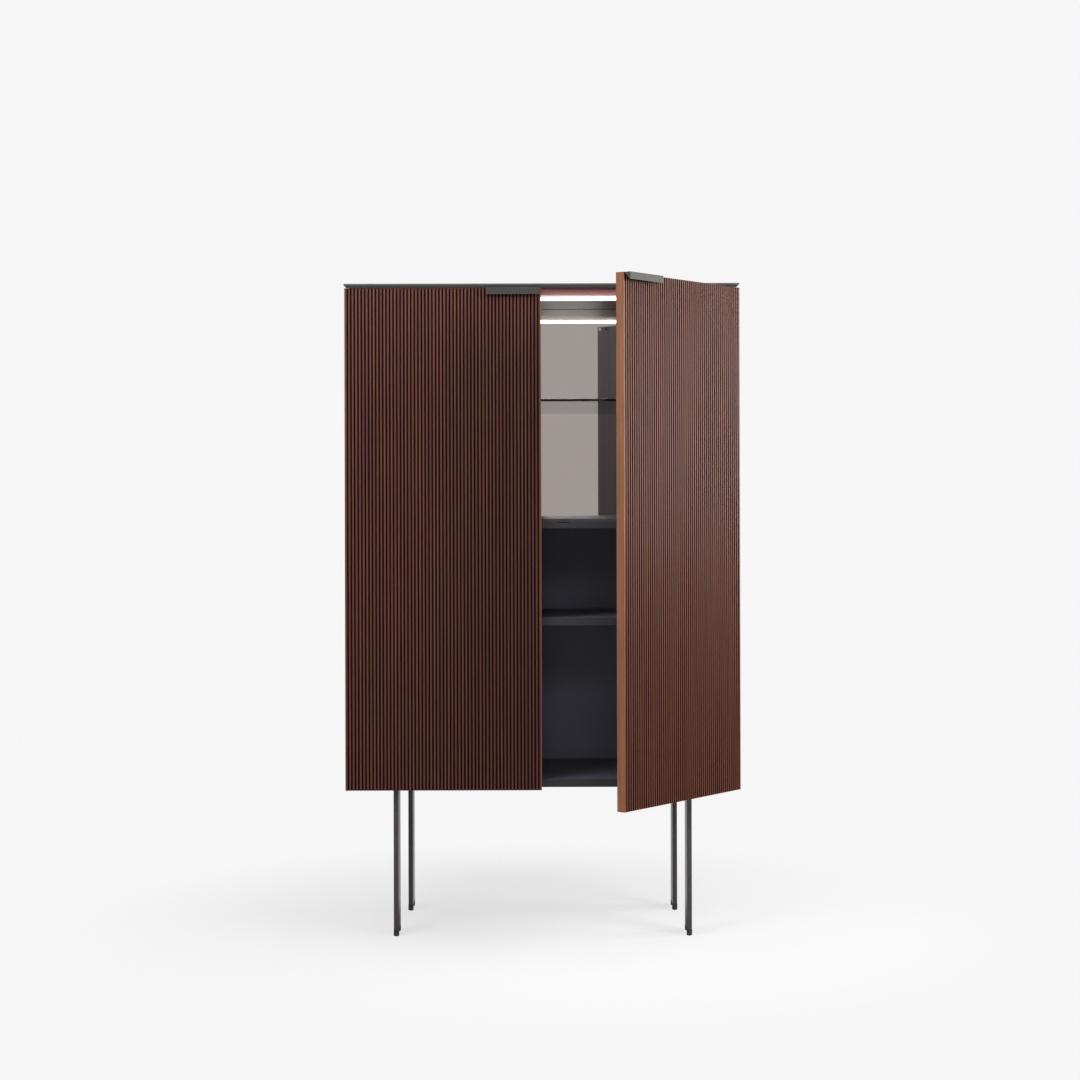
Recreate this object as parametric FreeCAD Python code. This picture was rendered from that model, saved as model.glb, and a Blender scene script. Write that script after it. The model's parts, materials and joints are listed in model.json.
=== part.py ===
import FreeCAD, Part
import math
import os

# Bar cabinet on blade legs: two fluted doors, a mirror-backed bar and a leaf that folds out.
# Millimetres, +Z up, front towards -Y, origin on the floor under the middle of the shut cabinet.
# The left door is shut and the right door stands open.

# Whole cabinet
carcass_width = 976.0
cabinet_depth = 455.0            # rib crests of a shut door to the back edges of the sides
carcass_lift = 374.0             # floor to the underside of the carcass
carcass_height = 1241.0
cut_overrun = 3.0                # how far each cutting tool passes the face that it cuts

# Carcass boards, doweled together, with the back panel in grooves
side_board = 20.0
bottom_board = 20.0
top_board = 16.0
back_thickness = 8.0
back_inset = 10.0                # back panel to the back edges of the boards
groove_depth = 6.0
groove_play = 0.4
dowel_radius = 4.0
dowel_in_side = 12.0
dowel_in_board = 24.0
dowel_place_shares = (0.14, 0.5, 0.86)

# Top panel, with an undercut bevel at the front and both ends
top_thickness = 10.0
top_bevel = 6.8
top_overhang = 2.0
top_screw_bite = 5.0
top_screw_place_shares = (-0.8, -0.3, 0.3, 0.8)

# Doors
door_thickness = 22.0            # ribs included
door_gap = 4.0                   # door to carcass
door_meeting_gap = 3.0
door_drop = 4.5                  # door below the underside of the carcass
door_open_angle = 51.6
rib_count = 54
rib_width = 4.8
rib_round = 1.2                  # radius of the ribs' front corners
rib_depth = 4.5
door_lipping = 5.3               # plain edge on each side of the ribs

# Pivot hinges of the doors
pivot_from_edge = 9.0
pivot_from_crest = 9.0
pivot_pin_radius = 2.0
pivot_pin_length = 13.0
pivot_arm_length = 62.0
pivot_arm_width = 8.0
pivot_arm_angle = 30.0           # arm turned towards the middle of the cabinet
upper_arm_thickness = 2.0
lower_arm_thickness = 3.0
bush_radius = 3.4
bush_length = 15.0
bush_proud = 0.6
running_clearance = 0.05
bearing_gap = 0.2
arm_clearance = 0.4
head_clearance = 1.0             # top panel to the doors, and upper arms to the bushes
arm_screw_place_shares = (0.62, 0.88)

# Handles: a wedge in front of each door, with a flange let into the door's top edge
handle_length = 132.0
handle_edge_gap = 3.0
handle_flange = 2.0
handle_edge_radius = 0.8
handle_reach = 17.0              # wedge in front of the rib crests
handle_seat = 16.0               # flange behind the rib crests
handle_lip = 17.0                # height of the wedge's front
handle_lip_edge = 2.0            # flat along the wedge's lower edge
handle_door_gap = 0.5
handle_screw_place_shares = (0.15, 0.85)

# Magnetic catches and bumpers
catch_from_centre = 12.0
magnet_radius = 4.0
magnet_length = 10.0
strike_radius = 5.0
strike_thickness = 1.5
bumper_from_centre = 40.0
bumper_radius = 4.0
bumper_tip_radius = 3.0
bumper_gap = 0.4

# Bar shelf, its fixed top layer and the leaf
bar_height = 1034.0              # upper face of the bar shelf's board
bar_board = 16.0
bar_layer = 8.0
shelf_setback = 3.0              # shelves behind the front edges of the carcass
leaf_from_centre = 3.0
leaf_from_side = 149.0           # end of the leaf to the inner face of the side
leaf_depth = 180.0
leaf_play = 1.0
leaf_seat_gap = 0.2
leaf_joint_gap = 0.4             # leaf to shelf when it is folded out
finger_notch_radius = 13.0
knuckle_radius = 2.5
knuckle_length = 10.0
knuckle_gap = 0.2
knuckle_clearance = 0.3
hinge_pin_radius = 1.25
hinge_plate_thickness = 1.2
hinge_plate_drop = 11.0
hinge_plate_rise = 6.6
leaf_hinge_place_shares = (0.16, 0.84)

# Glass shelf and lower shelf
glass_place_share = 0.5242       # underside of the glass, from the bar up to the ceiling
glass_thickness = 6.5
glass_edge_chamfer = 0.8
glass_end_gap = 1.5
glass_rear_gap = 3.0
tongue_length = 14.0
tongue_width = 12.0
tongue_thickness = 3.0
lower_shelf_place_share = 0.612  # underside of the shelf, from the bottom board up to the bar shelf
lower_shelf_thickness = 20.0
lower_shelf_end_gap = 1.0
lower_shelf_rear_gap = 3.0
peg_radius = 2.5
peg_in_side = 9.0
peg_reach = 9.0
peg_seat_gap = 0.1
peg_place_shares = (0.14, 0.86)

# Mirror and lamp of the upper compartment
mirror_thickness = 4.0
mirror_side_gap = 1.0
mirror_head_gap = 0.5
lamp_setback = 62.0              # lamp behind the rib crests
lamp_width = 44.0
lamp_base = 2.0
lamp_cover_height = 5.0
lamp_cover_wall = 1.2
lamp_end_gap = 4.0
lamp_strip_width = 12.0
lamp_strip_thickness = 1.6

# Fixings in the back panel, measured from the underside of the bar shelf
anchor_spacing = 520.0
anchor_radius = 3.0
anchor_drop = 38.0
grommet_from_side = 48.0
grommet_drop = 38.0
grommet_bore_radius = 6.0
grommet_neck_radius = 8.0
grommet_rim_radius = 11.0
grommet_rim = 2.0

# Legs and levelling glides
front_leg_from_side = 122.0      # middle of the blade to the outer face of the side
rear_leg_from_side = 138.0
leg_thickness = 12.0
leg_depth = 80.0
leg_front_setback = 40.0
leg_rear_setback = 10.0
leg_corner_radius = 1.5
leg_plate_thickness = 4.0
leg_plate_width = 64.0
leg_plate_margin = 8.0
leg_plate_corner = 6.0
leg_screw_inset = 12.0
glide_radius = 7.0
glide_height = 15.0
glide_chamfer = 1.5
glide_inset = 9.0                # glide axis to the ends of the leg
glide_stud_radius = 3.0
glide_stud_length = 14.0
glide_stud_gap = 1.0
glide_seat_gap = 0.3

# Countersunk screws
screw_head_radius = 4.0
screw_shank_radius = 2.0
screw_length = 14.0
small_screw_head_radius = 2.8
small_screw_shank_radius = 1.4
small_screw_length = 10.0

# Places worked out from the driving dimensions
x_out = carcass_width / 2
x_in = x_out - side_board
y_crest = -cabinet_depth / 2
y_door_back = y_crest + door_thickness
y_front = y_door_back + door_gap
y_rear = cabinet_depth / 2
y_back_panel = y_rear - back_inset - back_thickness
y_mirror = y_back_panel - mirror_thickness
y_shelf = y_front + shelf_setback
z_low = carcass_lift
z_high = carcass_lift + carcass_height
z_inside = z_low + bottom_board
z_ceiling = z_high - top_board
z_bar_top = bar_height + bar_layer
z_bar_under = bar_height - bar_board
z_glass = z_bar_top + (z_ceiling - z_bar_top) * glass_place_share
z_lower_shelf = z_inside + (z_bar_under - z_inside) * lower_shelf_place_share
z_door_low = z_low - door_drop
z_door_top = z_high - head_clearance
z_bush_low = z_low + bearing_gap
z_bush_high = z_high - upper_arm_thickness - head_clearance
x_pivot = x_out - pivot_from_edge
y_pivot = y_crest + pivot_from_crest
z_catch = z_ceiling + top_board / 2

SIDES = {"left": -1, "right": 1}
UP = FreeCAD.Vector(0, 0, 1)
ACROSS = FreeCAD.Vector(1, 0, 0)
nodes = {}


def point(x, y, z):
    return FreeCAD.Vector(x, y, z)


def block(x_span, y_span, z_span):
    """Box between two limits on each axis, given in either order."""
    low = [min(span) for span in (x_span, y_span, z_span)]
    size = [max(span) - min(span) for span in (x_span, y_span, z_span)]
    return Part.makeBox(*size, point(*low))


def rod(radius, start, end):
    """Round bar from one point to another."""
    along = end - start
    return Part.makeCylinder(radius, along.Length, start, along)


def prism(edges, travel):
    """Solid swept straight from a closed outline."""
    return Part.Face(Part.Wire(edges)).extrude(travel)


def lines(corners):
    """Closed run of straight edges."""
    ends = corners[1:] + corners[:1]
    return [Part.makeLine(a, b) for a, b in zip(corners, ends)]


def turned(profile, base):
    """Solid of revolution about the vertical through base, from (radius, height) corners."""
    corners = [base + point(r, 0, h) for r, h in profile]
    return Part.Face(Part.Wire(lines(corners))).revolve(base, UP, 360)


def screw(head, direction, length, small=False):
    """Countersunk screw whose flat head is centred on a point and which goes in along direction."""
    head_radius = small_screw_head_radius if small else screw_head_radius
    shank_radius = small_screw_shank_radius if small else screw_shank_radius
    cone = Part.makeCone(head_radius, shank_radius, head_radius - shank_radius, head, direction)
    return cone.fuse(Part.makeCylinder(shank_radius, length, head, direction)).removeSplitter()


def cut_all(shape, tools):
    return shape.cut(list(tools)) if tools else shape


def between(start, end, share):
    return start + (end - start) * share


def arm_outline(centre, far, z):
    """Flat arm with round ends about two points."""
    along = (far - centre).normalize()
    across = UP.cross(along) * (pivot_arm_width / 2)
    a, b = point(centre.x, centre.y, z), point(far.x, far.y, z)
    tip = along * (pivot_arm_width / 2)
    return [
        Part.Arc(a + across, a - tip, a - across).toShape(),
        Part.makeLine(a - across, b - across),
        Part.Arc(b - across, b + tip, b + across).toShape(),
        Part.makeLine(b + across, a + across),
    ]


# Dowels between the sides and the three fixed boards
dowels = {"left": [], "right": []}
fixed_board_levels = {
    "carcass_top": z_high - top_board / 2,
    "carcass_bottom": z_low + bottom_board / 2,
    "bar_shelf": bar_height - bar_board / 2,
}
for side, sign in SIDES.items():
    for level in fixed_board_levels.values():
        for share in dowel_place_shares:
            y = between(y_front, y_back_panel, share)
            deep = point(sign * (x_in + dowel_in_side), y, level)
            inner = point(sign * (x_in - dowel_in_board), y, level)
            dowels[side].append(rod(dowel_radius, deep, inner))
all_dowels = dowels["left"] + dowels["right"]
nodes["carcass_dowels"] = Part.makeCompound(all_dowels)

# Pegs under the lower shelf, and tongues under the glass
pegs = {"left": [], "right": []}
tongues = {"left": [], "right": []}
for side, sign in SIDES.items():
    for share in peg_place_shares:
        y = between(y_shelf, y_mirror, share)
        peg_z = z_lower_shelf - peg_seat_gap - peg_radius
        pegs[side].append(rod(peg_radius, point(sign * (x_in + peg_in_side), y, peg_z),
                              point(sign * (x_in - peg_reach), y, peg_z)))
        tongue_z = z_glass - peg_seat_gap
        stem_z = tongue_z - peg_radius
        stem = rod(peg_radius, point(sign * (x_in + peg_in_side), y, stem_z), point(sign * x_in, y, stem_z))
        tongue = block((sign * x_in, sign * (x_in - tongue_length)),
                       (y - tongue_width / 2, y + tongue_width / 2),
                       (tongue_z - tongue_thickness, tongue_z))
        tongues[side].append(stem.fuse(tongue))
nodes["lower_shelf_pegs"] = Part.makeCompound(pegs["left"] + pegs["right"])
nodes["glass_shelf_supports"] = Part.makeCompound(tongues["left"] + tongues["right"])

# Pivot arms, each with its pin, and the screws that hold them
arms = {}
arm_screws = {"upper": [], "lower": []}
for side, sign in SIDES.items():
    pivot = point(sign * x_pivot, y_pivot, 0)
    lean = math.radians(pivot_arm_angle)
    reach = point(-sign * math.sin(lean), math.cos(lean), 0) * pivot_arm_length
    arm_far = pivot + reach
    upper = prism(arm_outline(pivot, arm_far, z_high - upper_arm_thickness), UP * upper_arm_thickness)
    lower = prism(arm_outline(pivot, arm_far, z_low - lower_arm_thickness), UP * lower_arm_thickness)
    upper_pin = rod(pivot_pin_radius, point(pivot.x, pivot.y, z_high - upper_arm_thickness),
                    point(pivot.x, pivot.y, z_bush_high - pivot_pin_length))
    lower_pin = rod(pivot_pin_radius, point(pivot.x, pivot.y, z_low),
                    point(pivot.x, pivot.y, z_low + pivot_pin_length))
    arms[side, "upper"] = upper.fuse(upper_pin)
    arms[side, "lower"] = lower.fuse(lower_pin)
    for share in arm_screw_place_shares:
        place = pivot + reach * share
        upper_head = point(place.x, place.y, z_high)
        lower_head = point(place.x, place.y, z_low - lower_arm_thickness)
        arm_screws["upper"].append(screw(upper_head, -UP, small_screw_length, small=True))
        arm_screws["lower"].append(screw(lower_head, UP, small_screw_length, small=True))
upper_recesses = [arm.copy() for (side, level), arm in arms.items() if level == "upper"]
for (side, level), arm in arms.items():
    nodes[f"{side}_{level}_pivot_arm"] = cut_all(arm, arm_screws[level])
nodes["pivot_arm_screws"] = Part.makeCompound(arm_screws["upper"] + arm_screws["lower"])

# Sides, with the groove of the back panel and the holes of dowels, pegs and tongues
groove_y = (y_back_panel, y_back_panel + back_thickness)
groove_z = (z_inside - groove_depth, z_ceiling + groove_depth)
for side, sign in SIDES.items():
    board = block((sign * x_in, sign * x_out), (y_front, y_rear), (z_low, z_high))
    groove = block((sign * (x_in - cut_overrun), sign * (x_in + groove_depth)), groove_y, groove_z)
    nodes[f"carcass_{side}_side"] = cut_all(board, [groove] + dowels[side] + pegs[side] + tongues[side]
                                            + upper_recesses)

# Top board, with the recesses of the upper arms and the holes of the magnets
magnets = [rod(magnet_radius, point(sign * catch_from_centre, y_front, z_catch),
               point(sign * catch_from_centre, y_front + magnet_length, z_catch)) for sign in SIDES.values()]
nodes["catch_magnets"] = Part.makeCompound(magnets)
top_screws = []
for across_share in top_screw_place_shares:
    for depth_share in (min(dowel_place_shares), max(dowel_place_shares)):
        head = point(across_share * x_in, between(y_front, y_back_panel, depth_share), z_ceiling)
        top_screws.append(screw(head, UP, top_board + top_screw_bite))
nodes["top_panel_screws"] = Part.makeCompound(top_screws)
board = block((-x_in, x_in), (y_front, y_rear), (z_ceiling, z_high))
groove = block((-x_in - cut_overrun, x_in + cut_overrun), groove_y,
               (z_ceiling - cut_overrun, z_ceiling + groove_depth))
nodes["carcass_top"] = cut_all(board, [groove] + all_dowels + upper_recesses + magnets
                               + top_screws + arm_screws["upper"])

# Top panel
panel = block((-x_out - top_overhang, x_out + top_overhang), (y_crest - top_overhang, y_rear),
              (z_high, z_high + top_thickness))
lower_edges = [edge for edge in panel.Edges if edge.BoundBox.ZMax < z_high + top_thickness / 2]
under_edges = [edge for edge in lower_edges if edge.CenterOfMass.y < y_rear - top_bevel]
nodes["top_panel"] = cut_all(panel.makeChamfer(top_bevel, under_edges), top_screws)

# Legs: a blade welded under a plate, on two glides that screw into its foot
leg_places = {
    "front": (x_out - front_leg_from_side, y_crest + leg_front_setback),
    "rear": (x_out - rear_leg_from_side, y_rear - leg_rear_setback - leg_depth),
}
leg_screws = []
for row, (leg_from_centre, y_leg) in leg_places.items():
    for side, sign in SIDES.items():
        x_leg = sign * leg_from_centre
        blade = block((x_leg - leg_thickness / 2, x_leg + leg_thickness / 2), (y_leg, y_leg + leg_depth),
                      (glide_height + glide_seat_gap, z_low - leg_plate_thickness))
        blade = blade.makeFillet(leg_corner_radius, [edge for edge in blade.Edges
                                                     if edge.BoundBox.ZLength > leg_depth])
        plate = block((x_leg - leg_plate_width / 2, x_leg + leg_plate_width / 2),
                      (y_leg - leg_plate_margin, y_leg + leg_depth + leg_plate_margin),
                      (z_low - leg_plate_thickness, z_low))
        plate = plate.makeFillet(leg_plate_corner, [edge for edge in plate.Edges
                                                    if edge.BoundBox.ZLength > leg_plate_thickness / 2])
        screws = []
        screw_from_blade = leg_plate_width / 2 - leg_screw_inset
        screw_from_edge = leg_screw_inset - leg_plate_margin
        for x in (x_leg - screw_from_blade, x_leg + screw_from_blade):
            for y in (y_leg + screw_from_edge, y_leg + leg_depth - screw_from_edge):
                screws.append(screw(point(x, y, z_low - leg_plate_thickness), UP, screw_length))
        leg_screws += screws
        sockets = []
        for end, y in {"fore": y_leg + glide_inset, "aft": y_leg + leg_depth - glide_inset}.items():
            base = point(x_leg, y, 0)
            stud_top = glide_height + glide_stud_length
            nodes[f"glide_{row}_{side}_{end}"] = turned([
                (0, 0), (glide_radius - glide_chamfer, 0), (glide_radius, glide_chamfer),
                (glide_radius, glide_height), (glide_stud_radius, glide_height),
                (glide_stud_radius, stud_top), (0, stud_top)], base)
            sockets.append(rod(glide_stud_radius + running_clearance,
                               base + UP * (glide_height - cut_overrun),
                               base + UP * (stud_top + glide_stud_gap)))
        nodes[f"leg_{row}_{side}"] = cut_all(blade.fuse(plate), screws + sockets)
nodes["leg_screws"] = Part.makeCompound(leg_screws)

# Bottom board
board = block((-x_in, x_in), (y_front, y_rear), (z_low, z_inside))
groove = block((-x_in - cut_overrun, x_in + cut_overrun), groove_y,
               (z_inside - groove_depth, z_inside + cut_overrun))
nodes["carcass_bottom"] = cut_all(board, [groove] + all_dowels + leg_screws + arm_screws["lower"])

# Back panel, its wall-fixing holes and its grommet
y_back_outer = y_back_panel + back_thickness
panel = block((-x_in - groove_depth + groove_play, x_in + groove_depth - groove_play), groove_y,
              (min(groove_z) + groove_play, max(groove_z) - groove_play))
x_anchor = anchor_spacing / 2
z_anchor = z_bar_under - anchor_drop
anchor_holes = [rod(anchor_radius, point(sign * x_anchor, y_back_panel - cut_overrun, z_anchor),
                    point(sign * x_anchor, y_back_outer + cut_overrun, z_anchor))
                for sign in SIDES.values()]
x_grommet = x_in - grommet_from_side
z_grommet = z_bar_under - grommet_drop
grommet_inner = point(x_grommet, y_back_panel - grommet_rim, z_grommet)
grommet_outer = point(x_grommet, y_back_outer + grommet_rim, z_grommet)
grommet_neck = rod(grommet_neck_radius, grommet_inner, grommet_outer)
nodes["back_panel"] = cut_all(panel, anchor_holes + [grommet_neck])
rims = [rod(grommet_rim_radius, grommet_inner, point(x_grommet, y_back_panel, z_grommet)),
        rod(grommet_rim_radius, point(x_grommet, y_back_outer, z_grommet), grommet_outer)]
nodes["cable_grommet"] = grommet_neck.fuse(rims).cut(rod(grommet_bore_radius, grommet_inner, grommet_outer))

# Leaf hinges: two small butt hinges on the front edge of the bar shelf
x_leaf = (leaf_from_centre, x_in - leaf_from_side)
z_leaf_low = bar_height + leaf_seat_gap
y_axis = y_shelf - leaf_joint_gap / 2
z_axis = bar_height + leaf_seat_gap / 2
hinge_length = 3 * knuckle_length
fixed_hinges, moving_hinges, hinge_pins, knuckle_notches = [], [], [], []
fixed_recesses, moving_recesses = [], []


def barrel(radius, span):
    """Round bar on the leaf's axis."""
    return rod(radius, point(min(span), y_axis, z_axis), point(max(span), y_axis, z_axis))


for share in leaf_hinge_place_shares:
    x_mid = between(*x_leaf, share)
    x_ends = (x_mid - hinge_length / 2, x_mid + hinge_length / 2)
    x_room = (x_mid - knuckle_length / 2, x_mid + knuckle_length / 2)
    x_turning = (x_room[0] + knuckle_gap, x_room[1] - knuckle_gap)
    pin = barrel(hinge_pin_radius, x_ends)
    room = barrel(knuckle_radius + knuckle_clearance, x_room)
    y_plate = (y_shelf, y_shelf + hinge_plate_thickness)
    lower_plate = block(x_ends, y_plate, (z_axis - hinge_plate_drop, z_axis))
    fixed = lower_plate.cut(room)
    for span in ((x_ends[0], x_room[0]), (x_room[1], x_ends[1])):
        fixed = fixed.fuse(barrel(knuckle_radius, span))
    fixed_hinges.append(fixed.cut(pin).removeSplitter())
    upper_plate = block(x_ends, y_plate, (z_axis, z_axis + hinge_plate_rise))
    side_rooms = [barrel(knuckle_radius + knuckle_clearance, (x_ends[0] - knuckle_gap, x_turning[0])),
                  barrel(knuckle_radius + knuckle_clearance, (x_turning[1], x_ends[1] + knuckle_gap))]
    moving = upper_plate.cut(side_rooms).fuse(barrel(knuckle_radius, x_turning))
    moving_hinges.append(moving.cut(barrel(hinge_pin_radius + running_clearance, x_ends)).removeSplitter())
    hinge_pins.append(pin)
    knuckle_notches.append(barrel(knuckle_radius + knuckle_clearance,
                                  (x_ends[0] - knuckle_gap, x_ends[1] + knuckle_gap)))
    fixed_recesses.append(lower_plate)
    moving_recesses.append(upper_plate)
nodes["leaf_hinge_fixed_leaves"] = Part.makeCompound(fixed_hinges)
nodes["leaf_hinge_turning_leaves"] = Part.makeCompound(moving_hinges)
nodes["leaf_hinge_pins"] = Part.makeCompound(hinge_pins)

# Bar shelf, the layer fixed on it, and the leaf that lies in the layer's cut-out
board = block((-x_in, x_in), (y_shelf, y_back_panel), (z_bar_under, bar_height))
nodes["bar_shelf"] = cut_all(board, all_dowels + knuckle_notches + fixed_recesses)
layer = block((-x_in, x_in), (y_shelf, y_back_panel), (bar_height, z_bar_top))
leaf_room = block((x_leaf[0] - leaf_play, x_leaf[1] + leaf_play),
                  (y_shelf - cut_overrun, y_shelf + leaf_depth + leaf_play),
                  (bar_height - cut_overrun, z_bar_top + cut_overrun))
nodes["bar_top"] = layer.cut(leaf_room)
leaf = block(x_leaf, (y_shelf, y_shelf + leaf_depth), (z_leaf_low, z_bar_top))
finger_centre = point(sum(x_leaf) / 2, y_shelf + leaf_depth, bar_height)
finger_notch = rod(finger_notch_radius, finger_centre, finger_centre + UP * (bar_layer + cut_overrun))
nodes["fold_out_leaf"] = cut_all(leaf, [finger_notch] + knuckle_notches + moving_recesses)

# Loose shelves
nodes["lower_shelf"] = block((-x_in + lower_shelf_end_gap, x_in - lower_shelf_end_gap),
                             (y_shelf, y_back_panel - lower_shelf_rear_gap),
                             (z_lower_shelf, z_lower_shelf + lower_shelf_thickness))
glass = block((-x_in + glass_end_gap, x_in - glass_end_gap), (y_shelf, y_mirror - glass_rear_gap),
              (z_glass, z_glass + glass_thickness))
front_edges = [edge for edge in glass.Edges
               if edge.BoundBox.XLength > x_in and edge.CenterOfMass.y < y_shelf + glass_edge_chamfer]
nodes["glass_shelf"] = glass.makeChamfer(glass_edge_chamfer, front_edges)

# Mirror and lamp
nodes["mirror"] = block((-x_in + mirror_side_gap, x_in - mirror_side_gap), (y_mirror, y_back_panel),
                        (z_bar_top, z_ceiling - mirror_head_gap))
x_lamp = x_in - lamp_end_gap
y_lamp = (y_crest + lamp_setback, y_crest + lamp_setback + lamp_width)
z_lamp = z_ceiling - lamp_base
nodes["lamp_base"] = block((-x_lamp, x_lamp), y_lamp, (z_lamp, z_ceiling))
y_strip = (sum(y_lamp) - lamp_strip_width) / 2
nodes["lamp_strip"] = block((-x_lamp + lamp_strip_width, x_lamp - lamp_strip_width),
                            (y_strip, y_strip + lamp_strip_width), (z_lamp - lamp_strip_thickness, z_lamp))
cover = block((-x_lamp, x_lamp), y_lamp, (z_lamp - lamp_cover_height, z_lamp))
hollow = block((-x_lamp + lamp_cover_wall, x_lamp - lamp_cover_wall),
               (y_lamp[0] + lamp_cover_wall, y_lamp[1] - lamp_cover_wall),
               (z_lamp - lamp_cover_height + lamp_cover_wall, z_lamp + cut_overrun))
nodes["lamp_cover"] = cover.cut(hollow)


def fluted_profile(x_hinge, x_free):
    """Outline of a shut door seen from above: flat back, plain edges and round-cornered ribs in front."""
    sign = 1 if x_free > x_hinge else -1
    width = abs(x_free - x_hinge)
    gap = (width - 2 * door_lipping - rib_count * rib_width) / (rib_count + 1)
    slant = rib_round * (1 - math.sqrt(1 / 2))

    def at(along, depth):
        return point(x_hinge + sign * along, y_crest + depth, z_door_low)

    edges = []
    corner = at(0, door_thickness)
    for place in (at(0, 0), at(door_lipping, 0), at(door_lipping, rib_depth)):
        edges.append(Part.makeLine(corner, place))
        corner = place
    for rib in range(rib_count):
        start = door_lipping + gap + rib * (rib_width + gap)
        end = start + rib_width
        edges.append(Part.makeLine(corner, at(start, rib_depth)))
        edges.append(Part.makeLine(at(start, rib_depth), at(start, rib_round)))
        edges.append(Part.Arc(at(start, rib_round), at(start + slant, slant), at(start + rib_round, 0)).toShape())
        edges.append(Part.makeLine(at(start + rib_round, 0), at(end - rib_round, 0)))
        edges.append(Part.Arc(at(end - rib_round, 0), at(end - slant, slant), at(end, rib_round)).toShape())
        corner = at(end, rib_depth)
        edges.append(Part.makeLine(at(end, rib_round), corner))
    for place in (at(width - door_lipping, rib_depth), at(width - door_lipping, 0), at(width, 0),
                  at(width, door_thickness), at(0, door_thickness)):
        edges.append(Part.makeLine(corner, place))
        corner = place
    return edges


def handle_profile(x):
    """Section of the handle: a thin flange on the door and a wedge that is deepest at its front."""
    y_lip = y_crest - handle_reach
    z_upper = z_door_top
    z_flange = z_upper - handle_flange
    z_lip = z_upper - handle_lip
    slant = handle_edge_radius * (1 - math.sqrt(1 / 2))

    def at(y, z):
        return point(x, y, z)

    top_start = at(y_lip + handle_edge_radius, z_upper)
    front_start = at(y_lip, z_upper - handle_edge_radius)
    rounded = Part.Arc(top_start, at(y_lip + slant, z_upper - slant), front_start).toShape()
    run = [front_start, at(y_lip, z_lip), at(y_lip + handle_lip_edge, z_lip),
           at(y_crest - handle_door_gap, z_flange), at(y_crest + handle_seat, z_flange),
           at(y_crest + handle_seat, z_upper), top_start]
    return [rounded] + [Part.makeLine(a, b) for a, b in zip(run, run[1:])]


# Doors, each built shut; the right one is then swung open about its pivots
for side, sign in SIDES.items():
    x_hinge = sign * x_out
    x_free = sign * door_meeting_gap / 2
    panel = prism(fluted_profile(x_hinge, x_free), UP * (z_door_top - z_door_low))
    pivot = point(sign * x_pivot, y_pivot, 0)
    bushes = [rod(bush_radius, pivot + UP * z_bush_low, pivot + UP * (z_bush_low + bush_length)),
              rod(bush_radius, pivot + UP * (z_bush_high - bush_length), pivot + UP * z_bush_high)]
    lean = math.radians(pivot_arm_angle)
    notch_inward = ((door_thickness - pivot_from_crest) * math.tan(lean)
                    + pivot_arm_width / 2 / math.cos(lean) + arm_clearance)
    x_notch = (sign * (x_pivot - notch_inward), sign * (x_out + cut_overrun))
    y_notch = (y_pivot - pivot_arm_width / 2 - arm_clearance, y_door_back + cut_overrun)
    notches = [block(x_notch, y_notch, (z_door_low - cut_overrun, z_bush_low + bush_proud)),
               block(x_notch, y_notch, (z_bush_high - bush_proud, z_door_top + cut_overrun))]
    strike_centre = point(sign * catch_from_centre, y_door_back - strike_thickness, z_catch)
    strike = rod(strike_radius, strike_centre, point(strike_centre.x, y_door_back, z_catch))
    bumpers = [Part.makeCone(bumper_radius, bumper_tip_radius, door_gap - bumper_gap,
                             point(sign * bumper_from_centre, y_door_back, z), point(0, 1, 0))
               for z in (z_low + bottom_board / 2, z_catch)]
    x_handle = sign * (door_meeting_gap / 2 + handle_edge_gap)
    strip = prism(handle_profile(x_handle), ACROSS * (sign * handle_length))
    screws = [screw(point(x_handle + sign * handle_length * share, y_crest + (rib_depth + handle_seat) / 2,
                          z_door_top), -UP, small_screw_length, small=True)
              for share in handle_screw_place_shares]
    pin_hole = rod(pivot_pin_radius + running_clearance, pivot + UP * z_door_low, pivot + UP * z_door_top)
    pieces = {
        "door_panel": cut_all(panel, notches + [strike, strip] + bushes + screws),
        "door_bushes": Part.makeCompound([bush.cut(pin_hole) for bush in bushes]),
        "handle": cut_all(strip, screws),
        "handle_screws": Part.makeCompound(screws),
        "strike_plate": strike,
        "door_bumpers": Part.makeCompound(bumpers),
    }
    for name, shape in pieces.items():
        if side == "right":
            shape.rotate(pivot, UP, door_open_angle)
        nodes[f"{side}_{name}"] = shape

os.makedirs("parts", exist_ok=True)
for name, shape in nodes.items():
    shape.exportStep(f"parts/{name}.step")
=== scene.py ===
import json
import math

import bpy
from mathutils import Matrix, Vector


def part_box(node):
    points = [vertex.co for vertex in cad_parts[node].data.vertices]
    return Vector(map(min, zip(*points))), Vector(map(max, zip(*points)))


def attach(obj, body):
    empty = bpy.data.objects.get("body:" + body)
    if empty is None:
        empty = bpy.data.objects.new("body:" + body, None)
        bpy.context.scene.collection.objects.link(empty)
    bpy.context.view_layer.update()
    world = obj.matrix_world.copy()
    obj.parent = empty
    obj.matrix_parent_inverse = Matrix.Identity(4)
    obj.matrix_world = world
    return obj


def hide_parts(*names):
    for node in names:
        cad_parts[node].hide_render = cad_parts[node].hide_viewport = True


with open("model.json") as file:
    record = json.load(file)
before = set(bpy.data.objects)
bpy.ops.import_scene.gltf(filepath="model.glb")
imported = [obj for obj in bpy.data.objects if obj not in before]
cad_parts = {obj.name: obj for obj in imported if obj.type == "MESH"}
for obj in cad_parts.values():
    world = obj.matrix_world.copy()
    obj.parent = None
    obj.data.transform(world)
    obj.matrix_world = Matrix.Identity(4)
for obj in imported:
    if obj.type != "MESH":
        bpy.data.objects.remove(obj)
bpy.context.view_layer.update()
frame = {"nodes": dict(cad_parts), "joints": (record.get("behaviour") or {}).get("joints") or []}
nodes = frame["nodes"]
mm = 0.001

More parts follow.
